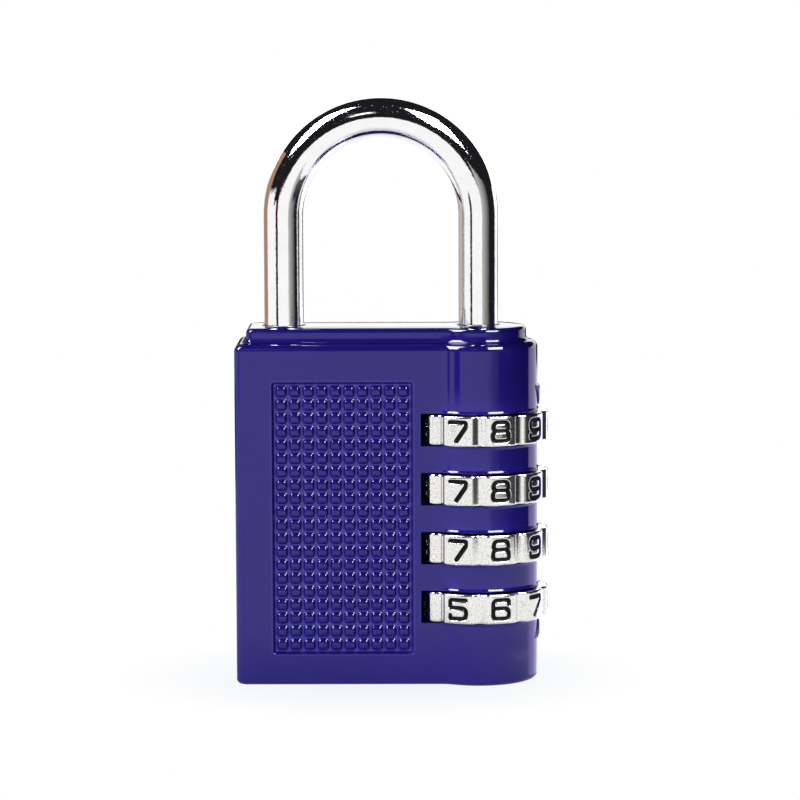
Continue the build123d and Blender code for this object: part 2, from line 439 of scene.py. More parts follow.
def body_outline(inset, bead=0.0):
    """Plan of the casting, anticlockwise from the front of the boss, moved inwards by inset.

    A bead of paint stands out all along the boss and fades out where the boss meets the flat faces.
    """
    reach = boss_radius + boss_blend
    blend_y = half_thickness + boss_blend
    blend_x = dial_x - sqrt(reach**2 - blend_y**2)
    blend_radius = boss_blend + inset
    tangent = degrees(atan2(-blend_y, blend_x - dial_x))
    corner_x = left_face + inset + corner_radius
    corner_y = half_thickness - inset - corner_radius
    front = arc((dial_x, 0), boss_radius - inset + bead, tangent, -tangent, boss_steps)
    blend_start = 180 - tangent - 360
    blend_back = fading_arc((blend_x, blend_y), blend_radius, blend_start, -90, blend_steps, bead)
    corner_back = arc((corner_x, corner_y), corner_radius, 90, 180, corner_steps)
    corner_front = arc((corner_x, -corner_y), corner_radius, 180, 270, corner_steps)
    blend_front = [(x, -y) for x, y in reversed(blend_back)]
    return front + blend_back + corner_back + corner_front + blend_front


def quarter(steps):
    """(sine, 1 - cosine) along a quarter turn."""
    return [(sin(pi / 2 * step / steps), 1 - cos(pi / 2 * step / steps)) for step in range(steps + 1)]


bead_height = 0.17
bead_width = 0.42


def bead_stations():
    """(height, inset, bead) of the rings along the slot lips, from the lowest slot up."""
    stations = []
    for height in sorted(wheel_heights):
        for side in (-1, 1):
            lip = height + side * slot_height / 2
            beads = []
            for step in range(bead_steps + 1):
                share = step / bead_steps
                bead = bead_height * cos(pi / 2 * share) ** 2
                beads.append((lip + side * bead_width * share, 0.0, bead))
            stations += beads if side > 0 else beads[::-1]
    return stations


def body_stations():
    """(height, inset, bead) of the rings from the bottom face up to the plateau."""
    stations = []
    for rise, run in reversed(quarter(bottom_steps)):
        stations.append((bottom_round * (1 - rise), bottom_round * run))
    stations += bead_stations()
    wall_top = body_height - top_round
    stations += [(wall_top + top_round * rise, top_round * run) for rise, run in quarter(top_steps)]
    foot_start = plateau_inset - plateau_foot
    for rise, run in quarter(foot_steps):
        stations.append((body_height + plateau_foot * run, foot_start + plateau_foot * rise))
    wall_top = plateau_top - plateau_crown - plateau_round
    for rise, run in quarter(plateau_steps):
        stations.append((wall_top + plateau_round * rise, plateau_inset + plateau_round * run))
    crown_start = plateau_inset + plateau_round
    for step in range(1, plateau_steps + 1):
        share = step / plateau_steps
        height = plateau_top - plateau_crown * (1 - share) ** 2
        stations.append((height, crown_start + crown_run * share))
    return stations


def casting_shell():
    """The outside of the casting, before anything is cut into it."""
    bm = bmesh.new()
    rings = []
    for height, *offsets in body_stations():
        rings.append([bm.verts.new((x, y, height)) for x, y in body_outline(*offsets)])
    join_rings(bm, rings)
    bm.faces.new(list(reversed(rings[0])))
    bm.faces.new(rings[-1])
    return bm


def slot_cutters():
    """A disc for each wheel slot."""
    bm = bmesh.new()
    for height in wheel_heights:
        low = height - slot_height / 2
        high = height + slot_height / 2
        profile = [(0, low), (slot_radius, low), (slot_radius, high), (0, high)]
        lathe(bm, profile, (dial_x, 0), slot_segments)
    return bm


def soften_slot_lips(piece):
    """Round the outer edges of the wheel slots."""
    bm = editable(piece)
    levels = [(height + side * slot_height / 2) * MM for height in wheel_heights for side in (-1, 1)]
    lips = []
    for edge in bm.edges:
        if len(edge.link_faces) != 2 or edge.calc_face_angle(0.0) < radians(lip_sharp_angle):
            continue
        middle = (edge.verts[0].co + edge.verts[1].co) / 2
        heights = [vertex.co.z for vertex in edge.verts]
        at_level = any(all(abs(z - level) < weld / 2 for z in heights) for level in levels)
        inside = hypot(middle.x / MM - dial_x, middle.y / MM) < slot_radius - lip_margin
        at_end = abs(abs(middle.y / MM) - half_thickness) < lip_margin / 2 and not at_level
        upright = abs(heights[0] - heights[1]) > (slot_height - slot_lip) * MM
        if (at_level and inside) or (at_end and upright):
            lips.append(edge)
    shape = {"offset": slot_lip * MM, "segments": lip_steps, "profile": 0.5}
    bmesh.ops.bevel(bm, geom=lips, affect="EDGES", clamp_overlap=True, **shape)
    write_back(bm, piece)


def hole_mouth():
    """Profile of the rounded mouth of a leg's hole, on up past the plateau and in to the axis."""
    mouth = []
    for rise, run in quarter(mouth_steps):
        height = plateau_top - leg_hole_round + leg_hole_round * rise
        mouth.append((leg_hole_radius + leg_hole_round * run, height))
    end = mouth[-1][0]
    return mouth + [(end, plateau_top + cutter_reach), (0, plateau_top + cutter_reach)]


def bore_cutter():
    """The bore for the sleeves, with the long leg's hole above it."""
    bm = bmesh.new()
    profile = [(0, -cutter_reach), (bore_radius, -cutter_reach), (bore_radius, bore_top)]
    profile.append((leg_hole_radius, bore_top))
    lathe(bm, profile + hole_mouth(), (dial_x, 0), hole_segments)
    return bm


def socket_cutter():
    """The short leg's socket."""
    bm = bmesh.new()
    floor_height = short_leg_end - socket_clearance
    profile = [(0, floor_height), (leg_hole_radius, floor_height)]
    lathe(bm, profile + hole_mouth(), (-dial_x, 0), hole_segments)
    return bm


def seat_cutter():
    """The seats behind the wheels for the detent springs."""
    bm = bmesh.new()
    size = (2 * leaf_seat_depth, leaf_seat_width, leaf_height + 2 * leaf_clearance)
    for height in wheel_heights:
        add_box(bm, size, Matrix.Translation((dial_x - slot_radius, 0, height)))
    return bm


def pocket_cutter():
    """The recess of the stud panel in the front and the back face."""
    bm = bmesh.new()
    middle_x = panel_left + panel_width / 2
    middle_z = panel_bottom + panel_height / 2
    size = (panel_width + 2 * frame_half, 2 * pocket_depth, panel_height + 2 * frame_half)
    for side in (-1, 1):
        add_box(bm, size, Matrix.Translation((middle_x, side * half_thickness, middle_z)))
    return bm


def smooth_step(value):
    """0 below 0, 1 above 1, smooth between."""
    value = min(max(value, 0.0), 1.0)
    return value * value * (3 - 2 * value)


stud_run = 0.72  # from a stud's middle to the steepest place on its side
stud_foot = 0.79  # from a stud's middle to the groove's floor
# Slope that grows evenly from the middle, steepest slope, and power of the rest
stud_across = (0.12, 2.5, 4.5)
stud_up = (0.7, 2.2, 6.0)
stud_squareness = 1.4  # 1 would be a stud with well-rounded corners
column_shares = (0.3, 0.53, 0.71, 0.86, 1.0)  # mesh lines from a stud's middle to its side
row_shares = (0.35, 0.6, 0.81, 1.0)
wall_steps = 5
lip_painted_light = 0.8  # how much painted light is on the frame's lip, when it is 1 in the grooves
painted_light_depth = 0.125  # share of a groove's depth, from its floor up, that gets painted light


def stud_drop(away, slopes):
    """Depth below the face at a distance from a stud's middle: a crowned top with a hollow foot."""
    crown, steepest, power = slopes
    share = min(away / stud_run, 1.0)
    drop = stud_run * (crown * share**2 / 2 + (steepest - crown) * share**power / power)
    past = min(away, stud_foot) - stud_run
    if past > 0:
        drop += steepest * (past - past**2 / (2 * (stud_foot - stud_run)))
    return drop


stud_depth = stud_drop(stud_foot, stud_across)


def past_studs(across, up):
    """Distance outside the outermost grooves, at a place measured from their lower left crossing."""
    return hypot(max(-across, across - panel_width, 0), max(-up, up - panel_height, 0))


def stud_offsets(across, up):
    """Sideways and upright distance from the middle of the stud at a place."""
    return abs(across % column_pitch - column_pitch / 2), abs(up % row_pitch - row_pitch / 2)


def stud_level(across, up):
    """Depth below the face at a place."""
    away = past_studs(across, up)
    if away > 0:
        return stud_depth * (1 - smooth_step((away - frame_floor) / (frame_wall - frame_floor)))
    dx, dz = stud_offsets(across, up)
    across_drop = stud_drop(dx, stud_across)
    up_drop = stud_drop(dz, stud_up)
    together = (across_drop**stud_squareness + up_drop**stud_squareness) ** (1 / stud_squareness)
    return min(together, stud_depth)


def painted_light_at(across, up, depth):
    """How much painted light a place gets: most in the grooves and along the frame's lip."""
    away = past_studs(across, up)
    if away > frame_floor:
        lip = (frame_wall + frame_half) / 2
        return lip_painted_light * smooth_step(1 - abs(away - lip) / (frame_half - lip))
    dx, dz = stud_offsets(across, up)
    crossing = smooth_step(2 * min(dx / column_pitch, dz / row_pitch))
    return smooth_step(1 - (1 - depth / stud_depth) / painted_light_depth) * crossing**2


def stud_lines(count, pitch, shares):
    """Places of the mesh lines along one side of the panel, at shares of a stud's half width."""
    half = pitch / 2
    stops = [0.0, half - stud_foot] + [half - stud_run * share for share in reversed(shares)]
    cell = stops + [pitch - stop for stop in reversed(stops[1:]) if stop < half]
    wall = frame_wall - frame_floor
    rim = [frame_floor + wall * step / wall_steps for step in range(wall_steps + 1)]
    rim += [(frame_wall + frame_half) / 2, frame_half]
    lines = [-place for place in reversed(rim)]
    for index in range(count):
        lines += [index * pitch + place for place in cell]
    end = count * pitch
    return lines + [end] + [end + place for place in rim]


def stud_sheet(bm):
    """Add the studded surface of both faces to a bmesh in millimetres."""
    columns = stud_lines(stud_columns, column_pitch, column_shares)
    rows = stud_lines(stud_rows, row_pitch, row_shares)
    painted_light = bm.verts.layers.float.new("painted_light")
    for side in (-1, 1):
        grid = []
        for up in rows:
            line = []
            for across in columns:
                depth = stud_level(across, up)
                place = (panel_left + across, side * (half_thickness - depth), panel_bottom + up)
                vertex = bm.verts.new(place)
                # Painted light: a lighter blue in the grooves, most at their crossings, and along the
                # frame's lip.
                vertex[painted_light] = painted_light_at(across, up, depth)
                line.append(vertex)
            grid.append(line)
        for lower, upper in zip(grid, grid[1:]):
            for step in range(len(columns) - 1):
                around = [lower[step], lower[step + 1], upper[step + 1], upper[step]]
                bm.faces.new(around if side < 0 else around[::-1])


index_tips = ((37.4, 40.2), (8.1, 5.55))  # (tip, base) of the upper and the lower mark
index_half_width = 2.3
index_steps = 16  # along each side of a mark
index_root = 0.5
# How far each ring of a mark lies in from its outline, and how far above the boss
index_profile = [(0.0, -index_root), (0.0, 0.1), (0.04, 0.18), (0.14, 0.25), (0.35, 0.3)]
index_profile += [(0.65, 0.34), (0.9, 0.35)]


def index_solids():
    """The raised triangles on the right end of the boss, as solids rooted in it."""
    bm = bmesh.new()
    for tip, base in index_tips:
        ends = [Vector((0, tip)), Vector((index_half_width, base)), Vector((-index_half_width, base))]
        outline = []
        for here, after in zip(ends, ends[1:] + ends[:1]):
            outline += [here.lerp(after, step / index_steps) for step in range(index_steps)]
        height = abs(base - tip)
        reach = index_half_width * height / (index_half_width + hypot(index_half_width, height))
        middle = ends[0].lerp(Vector((0, base)), 1 - reach / height)
        rings = []
        for inset, rise in index_profile:
            radius = boss_radius + rise
            ring = []
            for point in outline:
                across, up = middle.lerp(point, 1 - inset / reach)
                angle = across / boss_radius
                ring.append(bm.verts.new((dial_x + radius * cos(angle), radius * sin(angle), up)))
            rings.append(ring)
        join_rings(bm, rings)
        bm.faces.new(rings[0])
        bm.faces.new(rings[-1])
    bmesh.ops.recalc_face_normals(bm, faces=bm.faces)
    return bm


def open_pockets(bm):
    """Take away the walls and floors of the recesses, and return the edges round the openings."""
    inside = []
    around = frame_half + pocket_margin
    for face in bm.faces:
        middle = face.calc_center_median() / MM
        across = middle.x - panel_left
        up = middle.z - panel_bottom
        in_width = -around < across < panel_width + around
        in_height = -around < up < panel_height + around
        depth = half_thickness - abs(middle.y)
        if in_width and in_height and pocket_margin < depth < pocket_depth + pocket_margin:
            inside.append(face)
    bmesh.ops.delete(bm, geom=inside, context="FACES")
    return [edge for edge in bm.edges if edge.is_boundary]


def split_edges(edges, places):
    """Put a vertex on straight edges at each of the places that lie on one of them."""
    for edge in edges:
        start = edge.verts[0]
        first = start.co.copy()
        way = edge.verts[1].co - first
        shares = []
        for place in places:
            share = (place - first).dot(way) / way.length_squared
            inside = weld / way.length < share < 1 - weld / way.length
            if inside and (first + share * way - place).length < weld:
                shares.append(share)
        done = 0.0
        for share in sorted(shares):
            _, start = bmesh.utils.edge_split(edge, start, (share - done) / (1 - done))
            done = share


def edge_ends(edges):
    """The places of the ends of edges, each once."""
    return [vertex.co.copy() for vertex in {vertex for edge in edges for vertex in edge.verts}]


def close_with_studs(piece):
    """Replace the recesses of a piece by the studded surface, joined to the faces round it."""
    bm = editable(piece)
    openings = open_pockets(bm)
    sheet = bmesh.new()
    stud_sheet(sheet)
    bmesh.ops.scale(sheet, vec=(MM, MM, MM), verts=sheet.verts)
    rim = [edge for edge in sheet.edges if edge.is_boundary]
    opening_ends = edge_ends(openings)
    split_edges(openings, edge_ends(rim))
    split_edges(rim, opening_ends)
    studs = bpy.data.meshes.new("studs")
    sheet.to_mesh(studs)
    sheet.free()
    bm.from_mesh(studs)
    bpy.data.meshes.remove(studs)
    clean(bm)
    bm.normal_update()
    write_back(bm, piece)


def build_casting():
    """The whole casting, with its slots, bore, sockets, studs and index marks."""
    piece = new_object("casting", casting_shell(), [enamel])
    combine(piece, slot_cutters(), "DIFFERENCE")
    soften_slot_lips(piece)
    for cutter in (bore_cutter(), socket_cutter(), seat_cutter(), pocket_cutter()):
        combine(piece, cutter, "DIFFERENCE")
    combine(piece, index_solids(), "UNION")
    close_with_studs(piece)
    smooth(piece, casting_sharp_angle, weighted=True)
    stand_in(piece, "lock_body", "case")


# Shackle


def tube(bm, points, radius, segments, first_normal):
    """A tube along points, open at both ends. Returns its first and last ring."""
    rings = []
    normal = Vector(first_normal)
    for index, point in enumerate(points):
        ahead = Vector(points[min(index + 1, len(points) - 1)]) - Vector(points[max(index - 1, 0)])
        ahead.normalize()
        normal = (normal - ahead * normal.dot(ahead)).normalized()
        rings.append(ring_about(bm, Vector(point), radius, normal, ahead.cross(normal), segments))
    join_rings(bm, rings)
    return rings[0], rings[-1]


shoulder_height = 39.0
spindle_radius = 1.75
spindle_bottom = shackle_low.z
spindle_root = 1.0  # of the spindle inside the rod
ring_low, ring_high = node_box("retaining_ring")
ring_groove_radius = 1.3
ring_clearance = 0.05
short_leg_chamfer = 0.6
fin_width = 2.2
fin_height = 1.8
fin_top = 2.2  # above the wheel's middle
rod_segments = 64
spindle_segments = 48
arch_steps = 72
leg_steps = 12
fin_steps = 8
rod_sharp_angle = 30


def spindle_solids():
    """The thin end of the long leg, with a fin for each wheel."""
    bm = bmesh.new()
    top = shoulder_height + spindle_root
    groove_low = ring_low.z - ring_clearance
    groove_high = ring_high.z + ring_clearance
    profile = [(0, spindle_bottom), (spindle_radius, spindle_bottom), (spindle_radius, groove_low)]
    profile += [(ring_groove_radius, groove_low), (ring_groove_radius, groove_high)]
    profile += [(spindle_radius, groove_high), (spindle_radius, top), (0, top)]
    lathe(bm, profile, (dial_x, 0), spindle_segments)
    half = degrees(acos(sqrt(1 - (fin_width / 2 / rod_radius) ** 2)))
    outline = [(dial_x, fin_width / 2), (dial_x, -fin_width / 2)]
    outline += list(reversed(arc((dial_x, 0), rod_radius, 180 - half, 180 + half, fin_steps)))
    for height in wheel_heights:
        prism(bm, outline, height + fin_top - fin_height, height + fin_top)
    bmesh.ops.recalc_face_normals(bm, faces=bm.faces)
    return bm


def build_shackle():
    """The bent rod with its spindle and fins, as one smooth piece."""
    arch_height = shackle_top - rod_radius - dial_x
    long_leg = arch_height - shoulder_height
    right = [(dial_x, 0, shoulder_height + long_leg * step / leg_steps) for step in range(leg_steps)]
    arch = [(x, 0, z) for x, z in arc((0, arch_height), dial_x, 0, 180, arch_steps)]
    short_leg = short_leg_end + short_leg_chamfer - arch_height
    left = [(-dial_x, 0, arch_height + short_leg * step / leg_steps) for step in range(1, leg_steps + 1)]
    bm = bmesh.new()
    first, last = tube(bm, right + arch + left, rod_radius, rod_segments, (0, -1, 0))
    bm.faces.new(list(reversed(first)))
    end = []
    for vertex in last:
        away = Vector((vertex.co.x + dial_x, vertex.co.y, 0)) * (1 - short_leg_chamfer / rod_radius)
        end.append(bm.verts.new((away.x - dial_x, away.y, short_leg_end)))
    join_rings(bm, [last, end])
    bm.faces.new(end)
    bmesh.ops.recalc_face_normals(bm, faces=bm.faces)
    piece = new_object("shackle_rod", bm, [chrome])
    combine(piece, spindle_solids(), "UNION", self_overlaps=True)
    smooth(piece, rod_sharp_angle)
    stand_in(piece, "shackle", "shackle")


# Number wheels

digit_count = 10
digit_step = 360 / digit_count
flute_half_angle = 7.2
flute_depth = 0.5
wheel_round = 0.22
wheel_bore = 5.05
tooth_count = 5
tooth_middle = 4.95  # from the wheel's axis
tooth_size = (0.8, 1.4, 1.3)  # outwards with its root in the wheel, sideways, and up from the lower face
digit_half_width = 1.12
digit_half_height = 1.26
eight_narrowing = 0.92  # of the upper ring of the 8
stroke_radius = 0.305
stroke_lift = 0.05
stroke_segments = 12
stroke_spacing = 0.07  # least distance between the rings of a stroke
stroke_overlap = 0.05  # a closed stroke's last ring is left out when it is this near the first
same_place = 1e-6
stroke_ends = (0.38, 0.7, 0.92)  # rings of a stroke's round end, in stroke radii past it
curve_steps = 8
flute_steps = 14
land_steps = 10
wheel_round_steps = 4
wheel_sharp_angle = 35
index_angle = 90.0  # anticlockwise from the front, seen from above
digits_at_index = (0, 0, 0, 8)


def rounded(points, radii, closed=False):
    """A path through points with its corners rounded. radii has one value for each point."""
    path = []
    count = len(points)
    for index, (x, y) in enumerate(points):
        here = Vector((x, y))
        if not closed and index in (0, count - 1):
            path.append(here)
            continue
        back = Vector(points[index - 1]) - here
        ahead = Vector(points[(index + 1) % count]) - here
        half = acos(max(-1.0, min(1.0, back.normalized().dot(ahead.normalized())))) / 2
        slope = max(sin(half) / cos(half), same_place)
        run = min(radii[index] / slope, back.length / 2, ahead.length / 2)
        start = here + back.normalized() * run
        end = here + ahead.normalized() * run
        for step in range(curve_steps + 1):
            t = step / curve_steps
            path.append(start * (1 - t) ** 2 + here * 2 * t * (1 - t) + end * t**2)
    if closed:
        path.append(path[0])
    return path


def digit_strokes():
    """The centre lines of the digits 0 to 9, as lists of strokes."""
    w = digit_half_width
    h = digit_half_height
    n = w * eight_narrowing
    ring = rounded([(-w, -h), (w, -h), (w, h), (-w, h)], [1.0] * 4, closed=True)
    upper = rounded([(-n, 0.08), (n, 0.08), (n, h), (-n, h)], [0.6] * 4, closed=True)
    lower = rounded([(-w, -h), (w, -h), (w, 0.08), (-w, 0.08)], [0.6] * 4, closed=True)
    six_hook = rounded([(w, h - 0.55), (w, h), (-w, h), (-w, -0.1)], [0, 0.55, 0.75, 0])
    bowl_ends = [(-w, -h), (w, -h), (w, 0.12), (-w, 0.12)]
    six_bowl = rounded(bowl_ends, [0.65, 0.65, 0.65, 0.5], closed=True)
    nine_hook = [(-p[0], -p[1]) for p in six_hook]
    nine_bowl = [(-p[0], -p[1]) for p in six_bowl]
    two = [(-w, h - 0.7), (-w, h), (w, h), (w, 0.0), (-w, -h), (w, -h)]
    return [
        [ring],
        [rounded([(-0.55, h - 0.55), (0.15, h), (0.15, -h)], [0, 0.1, 0])],
        [rounded(two, [0, 0.7, 0.7, 0.7, 0.1, 0])],
        [
            rounded([(-w, h - 0.5), (-w, h), (w, h), (w, 0.05), (-0.35, 0.05)], [0, 0.5, 0.6, 0.5, 0]),
            rounded([(-0.35, 0.05), (w, 0.05), (w, -h), (-w, -h), (-w, 0.5 - h)], [0, 0.5, 0.6, 0.5, 0]),
        ],
        [rounded([(0.5, -h), (0.5, h), (-w, -0.5), (w, -0.5)], [0, 0.1, 0.1, 0])],
        [
            rounded(
                [(w * 0.95, h), (-w, h), (-w, 0.2), (w, 0.2), (w, -h), (-w, -h), (-w, 0.45 - h)],
                [0, 0.25, 0.3, 0.75, 0.75, 0.5, 0],
            )
        ],
        [six_hook, six_bowl],
        [rounded([(-w, h), (w, h), (w, 0.7), (-0.25, -h)], [0, 0.2, 0.6, 0])],
        [upper, lower],
        [nine_hook, nine_bowl],
    ]


def wrap(point, angle):
    """A point of a digit put on the wheel, at an angle from the front."""
    turn = radians(angle) + point[0] / wheel_radius
    radius = wheel_radius + stroke_lift
    return Vector((radius * sin(turn), -radius * cos(turn), point[1]))


def stroke_solid(bm, path, angle):
    """A stroke of a digit wrapped on the wheel, as a solid cutter with round ends or as a closed loop."""
    spaced = [Vector(path[0])]
    for point in path[1:]:
        if (Vector(point) - spaced[-1]).length > stroke_spacing:
            spaced.append(Vector(point))
    points = [wrap(point, angle) for point in spaced]
    closed = (Vector(path[0]) - Vector(path[-1])).length < same_place
    if closed and (points[0] - points[-1]).length < stroke_overlap:
        points.pop()
    outward = Vector((sin(radians(angle)), -cos(radians(angle)), 0))
    count = len(points)
    places = []
    for index, point in enumerate(points):
        before = points[index - 1] if closed or index else point
        after = points[(index + 1) % count] if closed or index < count - 1 else point
        ahead = (after - before).normalized()
        places.append((point, stroke_radius, ahead, ahead.cross(outward).normalized()))
    if not closed:
        start, _, start_ahead, start_side = places[0]
        end, _, end_ahead, end_side = places[-1]
        for past in stroke_ends:
            radius = stroke_radius * sqrt(1 - past**2)
            reach = stroke_radius * past
            places.insert(0, (start - start_ahead * reach, radius, start_ahead, start_side))
            places.append((end + end_ahead * reach, radius, end_ahead, end_side))
    rings = []
    for point, radius, ahead, side in places:
        rings.append(ring_about(bm, point, radius, side, side.cross(ahead), stroke_segments))
    pairs = list(zip(rings, rings[1:]))
    if closed:
        pairs.append((rings[-1], rings[0]))
    faces = []
    for lower, upper in pairs:
        for step in range(stroke_segments):
            after = (step + 1) % stroke_segments
            faces.append(bm.faces.new((lower[after], lower[step], upper[step], upper[after])))
    if not closed:
        faces.append(bm.faces.new(rings[0]))
        faces.append(bm.faces.new(list(reversed(rings[-1]))))
    for face in faces:
        face.material_index = 1


def wheel_outer(angle):
    """Radius of the wheel at an angle from the front: lands with smooth flutes between them."""
    away = abs((angle + digit_step / 2) % digit_step - digit_step / 2)
    if away > flute_half_angle:
        return wheel_radius
    return wheel_radius - flute_depth * (1 + cos(pi * away / flute_half_angle)) / 2


def wheel_angles():
    """Angles of the mesh lines round the wheel, finer in the flutes."""
    angles = []
    for index in range(digit_count):
        start = index * digit_step - flute_half_angle
        flute = 2 * flute_half_angle
        angles += [start + flute * step / flute_steps for step in range(flute_steps)]
        start += flute
        angles += [start + (digit_step - flute) * step / land_steps for step in range(land_steps)]
    return angles


def tooth_solids():
    """The teeth in a wheel's bore that hold its sleeve, as solids rooted in the wheel."""
    bm = bmesh.new()
    middle = Matrix.Translation((tooth_middle, 0, (tooth_size[2] - wheel_height) / 2))
    for index in range(tooth_count):
        add_box(bm, tooth_size, Matrix.Rotation(2 * pi * index / tooth_count, 4, "Z") @ middle)
    return bm


def engraved_wheel():
    """One wheel about its own axis, with the digits cut into its lands, 0 at the index angle."""
    half = wheel_height / 2
    edge = quarter(wheel_round_steps)
    profile = [(wheel_bore, -half, False)]
    for rise, run in reversed(edge):
        profile.append((wheel_round * run, -half + wheel_round * (1 - rise), True))
    profile += [(wheel_round * run, half - wheel_round * (1 - rise), True) for rise, run in edge]
    profile += [(wheel_bore, half, False)]
    bm = bmesh.new()
    angles = wheel_angles()
    rings = []
    for value, height, outer in profile:
        ring = []
        for angle in angles:
            radius = wheel_outer(angle) - value if outer else value
            turn = radians(angle)
            ring.append(bm.verts.new((radius * sin(turn), -radius * cos(turn), height)))
        rings.append(ring)
    join_rings(bm, rings + rings[:1])
    wheel = new_object("wheel", bm, [wheel_metal, digit_paint])
    cutter = bmesh.new()
    for digit, strokes in enumerate(digit_strokes()):
        for path in strokes:
            stroke_solid(cutter, path, index_angle + digit * digit_step)
    combine(wheel, cutter, "DIFFERENCE", self_overlaps=True)
    combine(wheel, tooth_solids(), "UNION")
    return wheel


def build_wheels():
    """The four wheels, each turned to the digit it shows at the index marks."""
    pattern = engraved_wheel()
    for number, height, shown in zip(WHEELS, wheel_heights, digits_at_index):
        mesh = pattern.data.copy()
        mesh.name = f"number_wheel_{number}"
        turn = Matrix.Rotation(radians(-shown * digit_step), 4, "Z")
        mesh.transform(Matrix.Translation((dial_x * MM, 0, height * MM)) @ turn)
        piece = bpy.data.objects.new(f"engraved_wheel_{number}", mesh)
        bpy.context.scene.collection.objects.link(piece)
        smooth(piece, wheel_sharp_angle, weighted=True)
        stand_in(piece, f"dial_{number}", f"number_wheel_{number}")
    bpy.data.objects.remove(pattern)


def build_springs():
    """The bowed leaf springs behind the wheels, pressed back as far as a passing land presses them."""
    tip_radius = wheel_radius + leaf_clearance + leaf_thickness / 2
    tip_angle = radians(digit_step / 2)
    half_chord = tip_radius * sin(tip_angle)
    belly = node_box("detent_spring_1")[0].x + leaf_thickness / 2
    bow = dial_x - tip_radius * cos(tip_angle) - belly
    radius = (half_chord**2 + bow**2) / (2 * bow)
    half_turn = degrees(atan2(half_chord, radius - bow))
    centre = (belly + radius, 0)
    inner = arc(centre, radius - leaf_thickness / 2, 180 - half_turn, 180 + half_turn, leaf_steps)
    outer = arc(centre, radius + leaf_thickness / 2, 180 + half_turn, 180 - half_turn, leaf_steps)
    for number, height in zip(WHEELS, wheel_heights):
        bm = bmesh.new()
        prism(bm, inner + outer, height - leaf_height / 2, height + leaf_height / 2)
        piece = new_object(f"leaf_spring_{number}", bm, [spring_steel])
        smooth(piece, leaf_sharp_angle)
        stand_in(piece, f"detent_spring_{number}", "case")


def dress_inner_pieces():
    """Finishes of the CAD pieces that stay."""
    finishes = {"bottom_plug": enamel}
    for name in ("retaining_ring", "thrust_washer", "reset_spring"):
        finishes[name] = spring_steel
    for number in WHEELS:
        finishes[f"code_sleeve_{number}"] = sleeve_brass
    for name, finish in finishes.items():
        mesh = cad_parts[name].data
        mesh.materials.clear()
        mesh.materials.append(finish)


build_casting()
build_shackle()
build_wheels()
build_springs()
dress_inner_pieces()


# Stage: floor, reflection cards, lights and camera


def calculate(tree, operation, *values):
    """The result of a math node."""
    made = add_node(tree, "ShaderNodeMath", enumerate(values), operation=operation)
    return made.outputs[0]


def path_share(tree, camera_share, glossy_share):
    """A factor: camera_share for camera rays, glossy_share for glossy and transmitted ones, else 0."""
    path = add_node(tree, "ShaderNodeLightPath").outputs
    bent = calculate(tree, "MAXIMUM", path["Is Glossy Ray"], path["Is Transmission Ray"])
    weighed = calculate(tree, "MULTIPLY", bent, glossy_share)
    return calculate(tree, "MULTIPLY_ADD", path["Is Camera Ray"], camera_share, weighed)


def show(tree, output, share, plain, seen):
    """Give an output the shader seen for a share of the rays, and the plain one for the rest."""
    mix = add_node(tree, "ShaderNodeMixShader", {0: share, 1: plain.outputs[0], 2: seen.outputs[0]})
    fill(tree.nodes[output], {"Surface": mix.outputs[0]})


floor_half = 40.0
floor_squeeze = (0.8, 1.0, 1.0)  # makes the shadow's fade longer from side to side
floor_near = 0.010  # squeezed metres from the middle, from where the shadow fades
floor_far = 0.029
floor_glossy_far = 0.055  # the same for what shiny surfaces reflect
floor_camera_white = 0.9
floor_glossy_white = 0.3


def build_floor():
    """A pale floor that shows white with a faint shadow near the object: the rendered shadow shows
    through there, with a painted bluish shadow tint in the glow.
    """
    made, tree, shader = material("floor")
    tone = ramp(tree, noise(tree, 30.0, 3.0), [(0.3, (0.86, 0.88, 0.91)), (0.7, (0.88, 0.90, 0.93))])
    fill(shader, {"Roughness": 0.9, "Specular IOR Level": 0.0, "Base Color": tone})
    place = add_node(tree, "ShaderNodeTexCoord").outputs["Object"]
    squeezed = add_node(tree, "ShaderNodeVectorMath", {0: place, 1: floor_squeeze}, operation="MULTIPLY")
    length = add_node(tree, "ShaderNodeVectorMath", {0: squeezed.outputs[0]}, operation="LENGTH")
    away = length.outputs["Value"]
    edge = spread(tree, away, 0.0, 1.0, floor_near, floor_far)
    # Painted shadow: the glow turns a faint bluish grey near the object.
    painted_shadow_tint = ramp(tree, edge, [(0.0, (0.96, 0.975, 1.0)), (1.0, (1.0, 1.0, 1.0))])
    glow = add_node(tree, "ShaderNodeEmission", {"Color": painted_shadow_tint})
    camera_share = spread(tree, edge, floor_camera_white, 1.0)
    glossy_share = spread(tree, away, floor_glossy_white, 1.0, floor_near, floor_glossy_far)
    show(tree, "Material Output", path_share(tree, camera_share, glossy_share), shader, glow)
    bm = bmesh.new()
    bmesh.ops.create_grid(bm, x_segments=1, y_segments=1, size=floor_half / MM)
    piece = new_object("floor", bm, [made])


def card(name, points, colours):
    """A flat reflection card that only shiny surfaces see, with a colour at each corner."""
    made, tree, shader = material(name)
    tree.nodes.remove(shader)
    tint = add_node(tree, "ShaderNodeAttribute", attribute_name="tint").outputs["Color"]
    glow = add_node(tree, "ShaderNodeEmission", {"Color": tint})
    fill(tree.nodes["Material Output"], {"Surface": glow.outputs[0]})
    bm = bmesh.new()
    tints = bm.verts.layers.float_color.new("tint")
    around = []
    for point, colour in zip(points, colours):
        corner = bm.verts.new(Vector(point) / MM)
        corner[tints] = (*colour, 1.0)
        around.append(corner)
    bm.faces.new(around)
    piece = new_object(name, bm, [made])
    piece.visible_camera = False
    piece.visible_diffuse = False
    piece.visible_shadow = False


def upright_card(name, start, end, top, colours):
    """An upright card between two lower corners, with a colour at each of its four corners."""
    points = [start, end, (end[0], end[1], top), (start[0], start[1], top)]
    card(name, points, colours)


